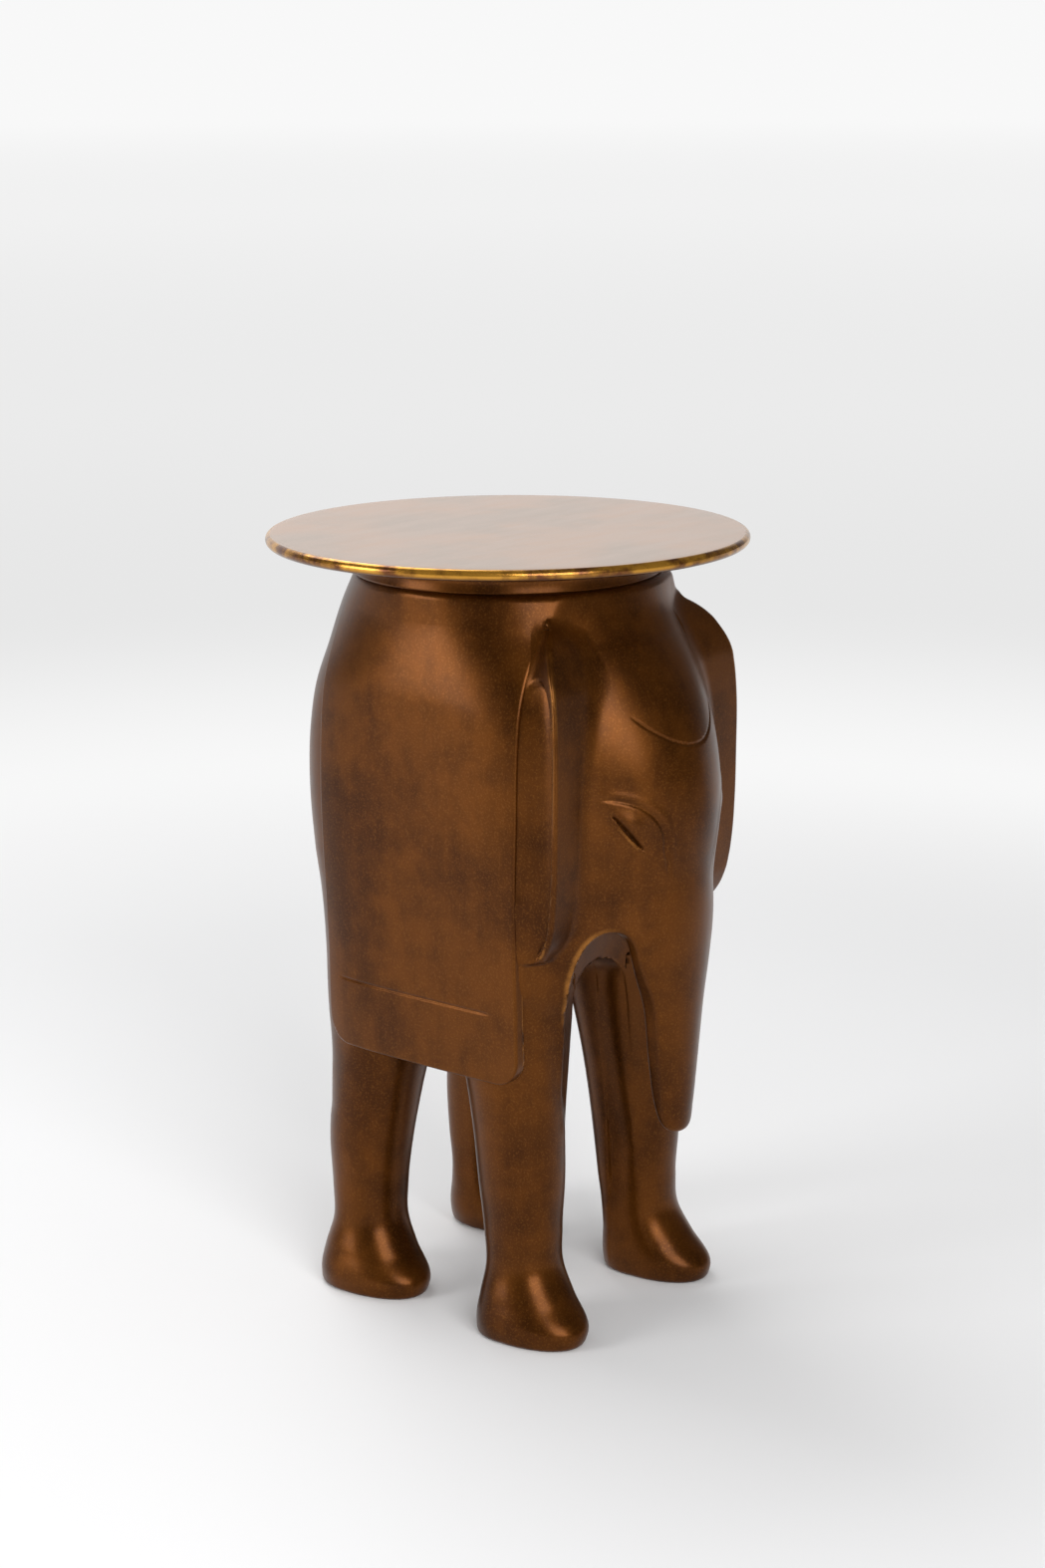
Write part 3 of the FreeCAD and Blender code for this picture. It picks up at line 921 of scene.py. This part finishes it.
def turnPiece(name, outline, steps, finish):
    mesh = bpy.data.meshes.new(name)
    mesh.from_pydata([(radius, 0, height) for radius, height in outline], [], [])
    profile = addObject(name, mesh)
    lathe = profile.modifiers.new("lathe", "NODES")
    lathe.node_group = latheTree
    settings = {"Steps": steps, "Finish": finish}
    for item in latheTree.interface.items_tree:
        if item.name in settings:
            lathe[item.identifier] = settings[item.name]
    bpy.context.view_layer.update()
    evaluated = profile.evaluated_get(bpy.context.evaluated_depsgraph_get())
    turned = bpy.data.meshes.new_from_object(evaluated)
    profile.modifiers.remove(lathe)
    shape = bmesh.new()
    shape.from_mesh(turned)
    bmesh.ops.recalc_face_normals(shape, faces=shape.faces[:])
    if shape.calc_volume(signed=True) < 0:
        bmesh.ops.reverse_faces(shape, faces=shape.faces[:])
    shape.to_mesh(turned)
    shape.free()
    turned.shade_smooth()
    profile.data = turned
    bpy.data.meshes.remove(mesh)
    turned.name = name
    print(name, len(turned.polygons), "faces")


def arcPoints(centre, radius, start, end, count):
    # points round part of a circle, with angles in degrees
    points = []
    for index in range(count + 1):
        angle = math.radians(start + (end - start) * index / count)
        points.append((centre[0] + radius * math.cos(angle),
                       centre[1] + radius * math.sin(angle)))
    return points


top = {
    "radius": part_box("table_top")[1].x,
    "low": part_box("table_top")[0].z,
    "high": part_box("table_top")[1].z,
    "steps": 256,
    "rimSteps": 12,
    "rings": 24,
}
ring = {
    "foot": 0.1090,
    "waist": 0.1080,
    "waistLevel": 0.541,
    "lip": 0.1240,
    "lipEdge": 0.0008,
    "flare": 1.7,
    "bore": 0.0922,
    "low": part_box("neck_ring")[0].z,
    "high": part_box("neck_ring")[1].z,
    "steps": 256,
    "curveSteps": 14,
}


def topOutline():
    middle = (top["low"] + top["high"]) / 2
    half = (top["high"] - top["low"]) / 2
    flat = top["radius"] - half
    rings = [flat * index / top["rings"] for index in range(top["rings"])]
    return ([(radius, top["low"]) for radius in rings]
            + arcPoints((flat, middle), half, -90, 90, top["rimSteps"])
            + [(radius, top["high"]) for radius in reversed(rings)])


def ringOutline():
    # up the trumpet from its foot by the waist to the lip, then down the bore
    points = []
    waistShare = (ring["waistLevel"] - ring["low"]) / (ring["high"] - ring["low"])
    for index in range(ring["curveSteps"] + 1):
        share = index / ring["curveSteps"]
        level = ring["low"] + share * (ring["high"] - ring["lipEdge"] - ring["low"])
        if share < waistShare:
            bend = (1 - share / waistShare) ** 2
            radius = ring["waist"] + (ring["foot"] - ring["waist"]) * bend
        else:
            bend = ((share - waistShare) / (1 - waistShare)) ** ring["flare"]
            radius = ring["waist"] + (ring["lip"] - ring["waist"]) * bend
        points.append((radius, level))
    corners = [(ring["lip"], ring["high"]), (ring["bore"], ring["high"]),
               (ring["bore"], ring["low"])]
    return points + corners + points[:1]


# finishes

class Shade:
    # a shader socket that takes Python's own operators

    def __init__(self, tree, socket):
        self.tree = tree
        self.socket = socket

    def maths(self, operation, *values):
        return self.tree.node("ShaderNodeMath", {"operation": operation}, *values)

    def __add__(self, other):
        return self.maths("ADD", self, other)

    def __sub__(self, other):
        return self.maths("SUBTRACT", self, other)

    def __rsub__(self, other):
        return self.maths("SUBTRACT", other, self)

    def __mul__(self, other):
        return self.maths("MULTIPLY", self, other)

    def __pow__(self, other):
        return self.maths("POWER", self, other)

    __radd__ = __add__

    def between(self, low, high, start=0, end=1):
        # eased from start to end as this value goes from low to high
        return self.tree.node("ShaderNodeMapRange", {"interpolation_type": "SMOOTHSTEP"},
                              self, low, high, start, end)

    def part(self, axis):
        split = self.tree.node("ShaderNodeSeparateXYZ", {}, self)
        return Shade(self.tree, split.socket.node.outputs[axis])


class Nodes:
    # a shader tree and the one call that adds a node to it

    def __init__(self, tree):
        self.nodes = tree.nodes
        self.links = tree.links

    def node(self, kind, settings, *values, output=0, **named):
        made = self.nodes.new(kind)
        for title, setting in settings.items():
            setattr(made, title, setting)
        for index, value in enumerate(values):
            self.feed(made.inputs[index], value)
        for title, value in named.items():
            self.feed(made.inputs[title.replace("_", " ")], value)
        return Shade(self, made.outputs[output])

    def feed(self, socket, value):
        if isinstance(value, Shade):
            self.links.new(value.socket, socket)
        else:
            socket.default_value = value


class Finish(Nodes):
    # one material and its usual nodes

    def __init__(self, title):
        self.material = bpy.data.materials.new(title)
        self.material.use_nodes = True
        super().__init__(self.material.node_tree)
        self.shader = self.nodes["Principled BSDF"]
        self.place = self.node("ShaderNodeTexCoord", {}, output="Object")

    def noise(self, scale, detail=3, roughness=0.55, place=None):
        return self.node("ShaderNodeTexNoise", {}, Vector=place or self.place, Scale=scale,
                         Detail=detail, Roughness=roughness)

    def streaks(self, scales, detail, roughness):
        # noise drawn out along the axes whose scale is low
        place = self.node("ShaderNodeVectorMath", {"operation": "MULTIPLY"}, self.place, scales)
        return self.noise(1, detail, roughness, place)

    def mixed(self, share, first, second):
        made = self.nodes.new("ShaderNodeMix")
        made.data_type = "RGBA"
        for socket, value in zip((made.inputs[0], made.inputs[6], made.inputs[7]),
                                 (share, first, second)):
            self.feed(socket, value)
        return Shade(self, made.outputs[2])

    def attribute(self, title):
        return self.node("ShaderNodeAttribute", {"attribute_name": title}, output="Fac")

    def done(self, **sockets):
        for title, value in sockets.items():
            self.feed(self.shader.inputs[title.replace("_", " ")], value)
        return self.material


def paint(red, green, blue):
    # a colour from its everyday 0 to 255 values
    parts = [value / 255 for value in (red, green, blue)]
    linear = [part / 12.92 if part <= 0.04045 else ((part + 0.055) / 1.055) ** 2.4
              for part in parts]
    return (*linear, 1)


bronze = {
    "brown": paint(95, 52, 10),
    "deep": paint(64, 32, 4),
    # rubbed edge colour, which also serves as a painted highlight along sharp edges
    "rubbedHighlight": paint(170, 112, 50),
    # dark colour of the painted shade in hollows, also used for the dark grain of the dowels
    "hollow": paint(38, 19, 6),
    "speck": paint(128, 80, 32),
    "metallic": 0.68,
    "roughness": 0.31,
    "specular": 0.14,
    "coat": 0.07,
    "coatRoughness": 0.22,
    "blotchScale": 14,
    "mottleScale": 60,
    "grainScale": 700,
    "streakScales": (46, 46, 7),
    # how much blotches, mottle and streaks each make of the clouds
    "cloudShares": (0.5, 0.25, 0.25),
    "cloudRange": (0.36, 0.62),
    "speckRange": (0.48, 0.72),
    "speckShare": 0.30,
    # rubbed wear with a painted highlight on sharp edges, in patches
    "wearAndHighlightRange": (0.25, 0.85),
    "patchRange": (0.30, 0.60, 0.45, 1),
    "rubbedHighlightShare": 0.65,
    # painted shade in hollows
    "paintedShadeRange": (0.20, 0.95),
    "hollowShare": 0.7,
    # how far mottle, the rubbed edges with their painted highlight, and grain move the
    # roughness
    "roughShares": (0.16, 0.10, 0.04),
    "bumpStrength": 0.25,
    "bumpHeight": 0.0004,
    "bumpGrain": 0.4,
}


def castBronze():
    finish = Finish("cast_bronze")
    blotch = finish.noise(bronze["blotchScale"], 3)
    mottle = finish.noise(bronze["mottleScale"], 4, 0.6)
    grain = finish.noise(bronze["grainScale"], 2, 0.6)
    streak = finish.streaks(bronze["streakScales"], 3, 0.6)
    ofBlotch, ofMottle, ofStreak = bronze["cloudShares"]
    cloud = blotch * ofBlotch + mottle * ofMottle + streak * ofStreak
    colour = finish.mixed(cloud.between(*bronze["cloudRange"]), bronze["deep"], bronze["brown"])
    specks = grain.between(*bronze["speckRange"]) * bronze["speckShare"]
    colour = finish.mixed(specks, colour, bronze["speck"])
    # rubbed wear with a painted highlight on sharp edges, in patches of the mottle
    wear_and_highlight = finish.attribute("wear_and_highlight").between(*bronze["wearAndHighlightRange"])
    rubbedHighlight = wear_and_highlight * mottle.between(*bronze["patchRange"])
    colour = finish.mixed(rubbedHighlight * bronze["rubbedHighlightShare"], colour, bronze["rubbedHighlight"])
    # painted shade, darker the deeper a hollow is
    painted_shade = finish.attribute("painted_shade").between(*bronze["paintedShadeRange"])
    colour = finish.mixed(painted_shade * bronze["hollowShare"], colour, bronze["hollow"])
    byMottle, byRubbedHighlight, byGrain = bronze["roughShares"]
    rough = bronze["roughness"] + (mottle - 0.5) * byMottle
    rough = rough - rubbedHighlight * byRubbedHighlight + grain * byGrain
    relief = finish.node("ShaderNodeBump", {}, Strength=bronze["bumpStrength"],
                         Distance=bronze["bumpHeight"],
                         Height=grain * bronze["bumpGrain"] + mottle, output="Normal")
    return finish.done(
        Base_Color=colour,
        Metallic=bronze["metallic"],
        Roughness=rough,
        Specular_IOR_Level=bronze["specular"],
        Coat_Weight=bronze["coat"],
        Coat_Roughness=bronze["coatRoughness"],
        Normal=relief)


haze = {
    "film": paint(172, 141, 119),
    "warm": paint(184, 142, 110),
    "grey": paint(158, 136, 116),
    "scratch": paint(222, 198, 170),
    "cloudScale": 9,
    "cloudRange": (0.38, 0.62),
    "smearScales": (14, 60, 14),
    "smearRange": (0.30, 0.62, 0.75, 0.35),
    "grainScale": 700,
    "grainRange": (0.5, 0.8),
    "grainShare": 0.15,
    "roughness": 0.34,
    "smearRoughness": 0.10,
    "coat": 0.4,
    "coatRoughness": 0.15,
}
rim = {
    "gold": paint(196, 140, 46),
    "brown": paint(98, 52, 16),
    "start": 0.1662,
    "end": 0.1674,
    "smudgeScale": 42,
    "smudgeRange": (0.42, 0.66),
    "metallic": 0.75,
    "smoother": 0.12,
    "lessCoat": 0.2,
    "under": paint(84, 50, 24),
    # how far below the top the plain underside begins
    "underRange": (0.0045, 0.0075),
}


def hazedTop():
    finish = Finish("hazed_top")
    x, y, z = (finish.place.part(axis) for axis in range(3))
    cloud = finish.noise(haze["cloudScale"], 4, 0.6).between(*haze["cloudRange"])
    smear = finish.streaks(haze["smearScales"], 4, 0.62)
    grain = finish.noise(haze["grainScale"], 2).between(*haze["grainRange"])
    colour = finish.mixed(cloud, haze["grey"], haze["warm"])
    colour = finish.mixed(smear.between(*haze["smearRange"]), colour, haze["film"])
    colour = finish.mixed(grain * haze["grainShare"], colour, haze["scratch"])
    smudge = finish.noise(rim["smudgeScale"], 4, 0.6).between(*rim["smudgeRange"])
    atRim = ((x * x + y * y) ** 0.5).between(rim["start"], rim["end"])
    colour = finish.mixed(atRim, colour, finish.mixed(smudge, rim["gold"], rim["brown"]))
    below = (top["high"] - z).between(*rim["underRange"])
    rough = haze["roughness"] - atRim * rim["smoother"] + (smear - 0.5) * haze["smearRoughness"]
    return finish.done(
        Base_Color=finish.mixed(below, colour, rim["under"]),
        Metallic=atRim * rim["metallic"],
        Roughness=rough,
        Coat_Weight=haze["coat"] - atRim * rim["lessCoat"],
        Coat_Roughness=haze["coatRoughness"])


pin = {
    "colour": paint(190, 150, 84),
    "metallic": 0.9,
    "roughness": 0.34,
    "grainScale": 400,
    "grainShare": 0.3,
    "grainRoughness": 0.1,
}


def dowelMetal():
    finish = Finish("dowel_metal")
    grain = finish.noise(pin["grainScale"], 3)
    return finish.done(
        Base_Color=finish.mixed(grain * pin["grainShare"], pin["colour"], bronze["hollow"]),
        Metallic=pin["metallic"],
        Roughness=pin["roughness"] + grain * pin["grainRoughness"])


bronzeFinish = castBronze()
topFinish = hazedTop()
dowelFinish = dowelMetal()
print("finishes made")

latheTree = turnedTree()
turnPiece("top_disc", topOutline(), top["steps"], topFinish)
turnPiece("neck_collar", ringOutline(), ring["steps"], bronzeFinish)
print("turned pieces made")


# what each piece stands for, rides on and is finished with

standsFor = {
    "torso_casting": "torso", "head_casting": "head", "trunk_casting": "trunk",
    "tail_casting": "tail", "neck_collar": "neck_ring", "top_disc": "table_top",
}
for side in ("right", "left"):
    standsFor[side + "_ear_casting"] = side + "_ear"
    standsFor[side + "_cloth_casting"] = side + "_saddle_cloth"
    for end in ("front", "rear"):
        standsFor[f"{end}_{side}_leg_casting"] = f"{end}_{side}_leg"

for name, node in standsFor.items():
    piece = bpy.data.objects[name]
    onTop = node == "table_top"
    piece.data.materials.clear()
    piece.data.materials.append(topFinish if onTop else bronzeFinish)
    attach(piece, "root")
    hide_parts(node)

for name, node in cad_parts.items():
    if "dowel" in name or "plug" in name:
        node.data.materials.clear()
        node.data.materials.append(dowelFinish if "dowel" in name else bronzeFinish)
print("pieces placed")


# camera and studio

cameraPlace = {
    "place": (-1.6039, -1.2855, 0.8854),
    "heading": 0.8998,
    "tilt": 0.243,
    "roll": -0.004,
    "lens": 67.81,
    "filmHeight": 36,
}


def makeCamera():
    heading, tilt, roll = (cameraPlace[angle] for angle in ("heading", "tilt", "roll"))
    ahead = Vector((math.sin(heading) * math.cos(tilt), math.cos(heading) * math.cos(tilt),
                    -math.sin(tilt)))
    right = Vector((math.cos(heading), -math.sin(heading), 0))
    up = right.cross(ahead)
    rolledRight = math.cos(roll) * right + math.sin(roll) * up
    rolledUp = math.cos(roll) * up - math.sin(roll) * right
    data = bpy.data.cameras.new("camera")
    data.sensor_fit = "VERTICAL"
    data.sensor_height = cameraPlace["filmHeight"]
    data.lens = cameraPlace["lens"]
    camera = addObject("camera", data)
    turn = Matrix((rolledRight, rolledUp, -ahead)).transposed()
    camera.matrix_world = Matrix.Translation(cameraPlace["place"]) @ turn.to_4x4()
    bpy.context.scene.camera = camera


makeCamera()


studio = {
    "floorSize": 120,
    "floorColour": (0.90, 0.90, 0.905, 1),
    "floorRoughness": 0.75,
    # how far from the object the floor turns into the sweep
    "sweepRange": (0.8, 1.7),
    # distance from the object and how bright the sweep looks there
    "sweepTones": [(0.0, 0.95), (1.5, 0.94), (2.8, 0.80), (5.7, 0.83), (16.0, 0.88),
                   (40.0, 0.94)],
    # what the metal mirrors: the white sweep on one side and a darker room on the other
    "sweepHeading": 0.62,
    "mirroredFloor": (0.0, 0.9),
    "mirroredSky": (0.55, 0.95),
    "skyWhite": 0.94,
    "skyDark": 0.10,
    "skyLevel": 0.43,
    "aim": (0, 0, 0.3),
    # place, width and height, power
    "lamps": {
        "key": ((0.35, 1.35, 2.35), (1.6, 1.6), 28),
        "soft": ((-1.30, -2.20, 1.45), (1.5, 1.7), 46),
        "back": ((-2.1, 1.2, 0.9), (1.0, 1.2), 24),
    },
}
sweepAhead = Vector((math.sin(studio["sweepHeading"]), math.cos(studio["sweepHeading"]), 0))


def rayKinds(tree):
    # whether a ray comes from the camera, and whether it was mirrored or let through
    camera = tree.node("ShaderNodeLightPath", {}, output="Is Camera Ray")
    glossy, through = (Shade(tree, camera.socket.node.outputs[title])
                       for title in ("Is Glossy Ray", "Is Transmission Ray"))
    return camera, glossy.maths("MAXIMUM", glossy, through)


def towardsSweep(tree, place):
    return tree.node("ShaderNodeVectorMath", {"operation": "DOT_PRODUCT"}, place, sweepAhead,
                     output="Value")


def makeFloor():
    half = studio["floorSize"] / 2
    mesh = bpy.data.meshes.new("floor")
    mesh.from_pydata([(-half, -half, 0), (half, -half, 0), (half, half, 0), (-half, half, 0)],
                     [], [(0, 1, 2, 3)])
    floor = addObject("floor", mesh)
    finish = Finish("studio_floor")
    distance = finish.node("ShaderNodeVectorMath", {"operation": "LENGTH"}, finish.place,
                           output="Value")
    tones = studio["sweepTones"]
    tone = tones[0][1]
    for (start, low), (end, high) in zip(tones, tones[1:]):
        tone = tone + distance.between(start, end, 0, high - low)
    camera, mirrored = rayKinds(finish)
    behind = towardsSweep(finish, finish.place).between(*studio["mirroredFloor"])
    seen = camera.maths("MAXIMUM", camera, mirrored * behind)
    share = seen * distance.between(*studio["sweepRange"])
    glow = finish.node("ShaderNodeEmission", {}, Strength=tone, output="Emission")
    finish.done(Base_Color=studio["floorColour"], Roughness=studio["floorRoughness"])
    mixed = finish.node("ShaderNodeMixShader", {}, share,
                        Shade(finish, finish.shader.outputs[0]), glow)
    finish.links.new(mixed.socket, finish.nodes["Material Output"].inputs["Surface"])
    mesh.materials.append(finish.material)


def makeLamp(name, place, size, power):
    data = bpy.data.lights.new(name, "AREA")
    data.shape = "RECTANGLE"
    data.size, data.size_y = size
    data.energy = power
    lamp = addObject(name, data)
    lamp.location = place
    aim = Vector(studio["aim"]) - Vector(place)
    lamp.rotation_euler = aim.to_track_quat("-Z", "Y").to_euler()


def makeWorld():
    # white where the camera looks, plain elsewhere, and a sweep and a darker room in the metal
    world = bpy.data.worlds.new("studio")
    world.use_nodes = True
    tree = Nodes(world.node_tree)
    camera, mirrored = rayKinds(tree)
    place = tree.node("ShaderNodeTexCoord", {}, output="Generated")
    sweep = towardsSweep(tree, place).between(*studio["mirroredSky"], studio["skyDark"],
                                              studio["skyWhite"])
    level = (1 - mirrored) * studio["skyLevel"] + mirrored * sweep
    level = level * (1 - camera) + camera * studio["skyWhite"]
    sky = tree.nodes["Background"]
    tree.feed(sky.inputs["Strength"], level)
    tree.feed(sky.inputs["Color"], (1, 1, 1, 1))
    bpy.context.scene.world = world


makeFloor()
for name, (place, size, power) in studio["lamps"].items():
    makeLamp(name, place, size, power)
makeWorld()
bpy.context.scene.view_settings.view_transform = "Standard"
print("studio lit")
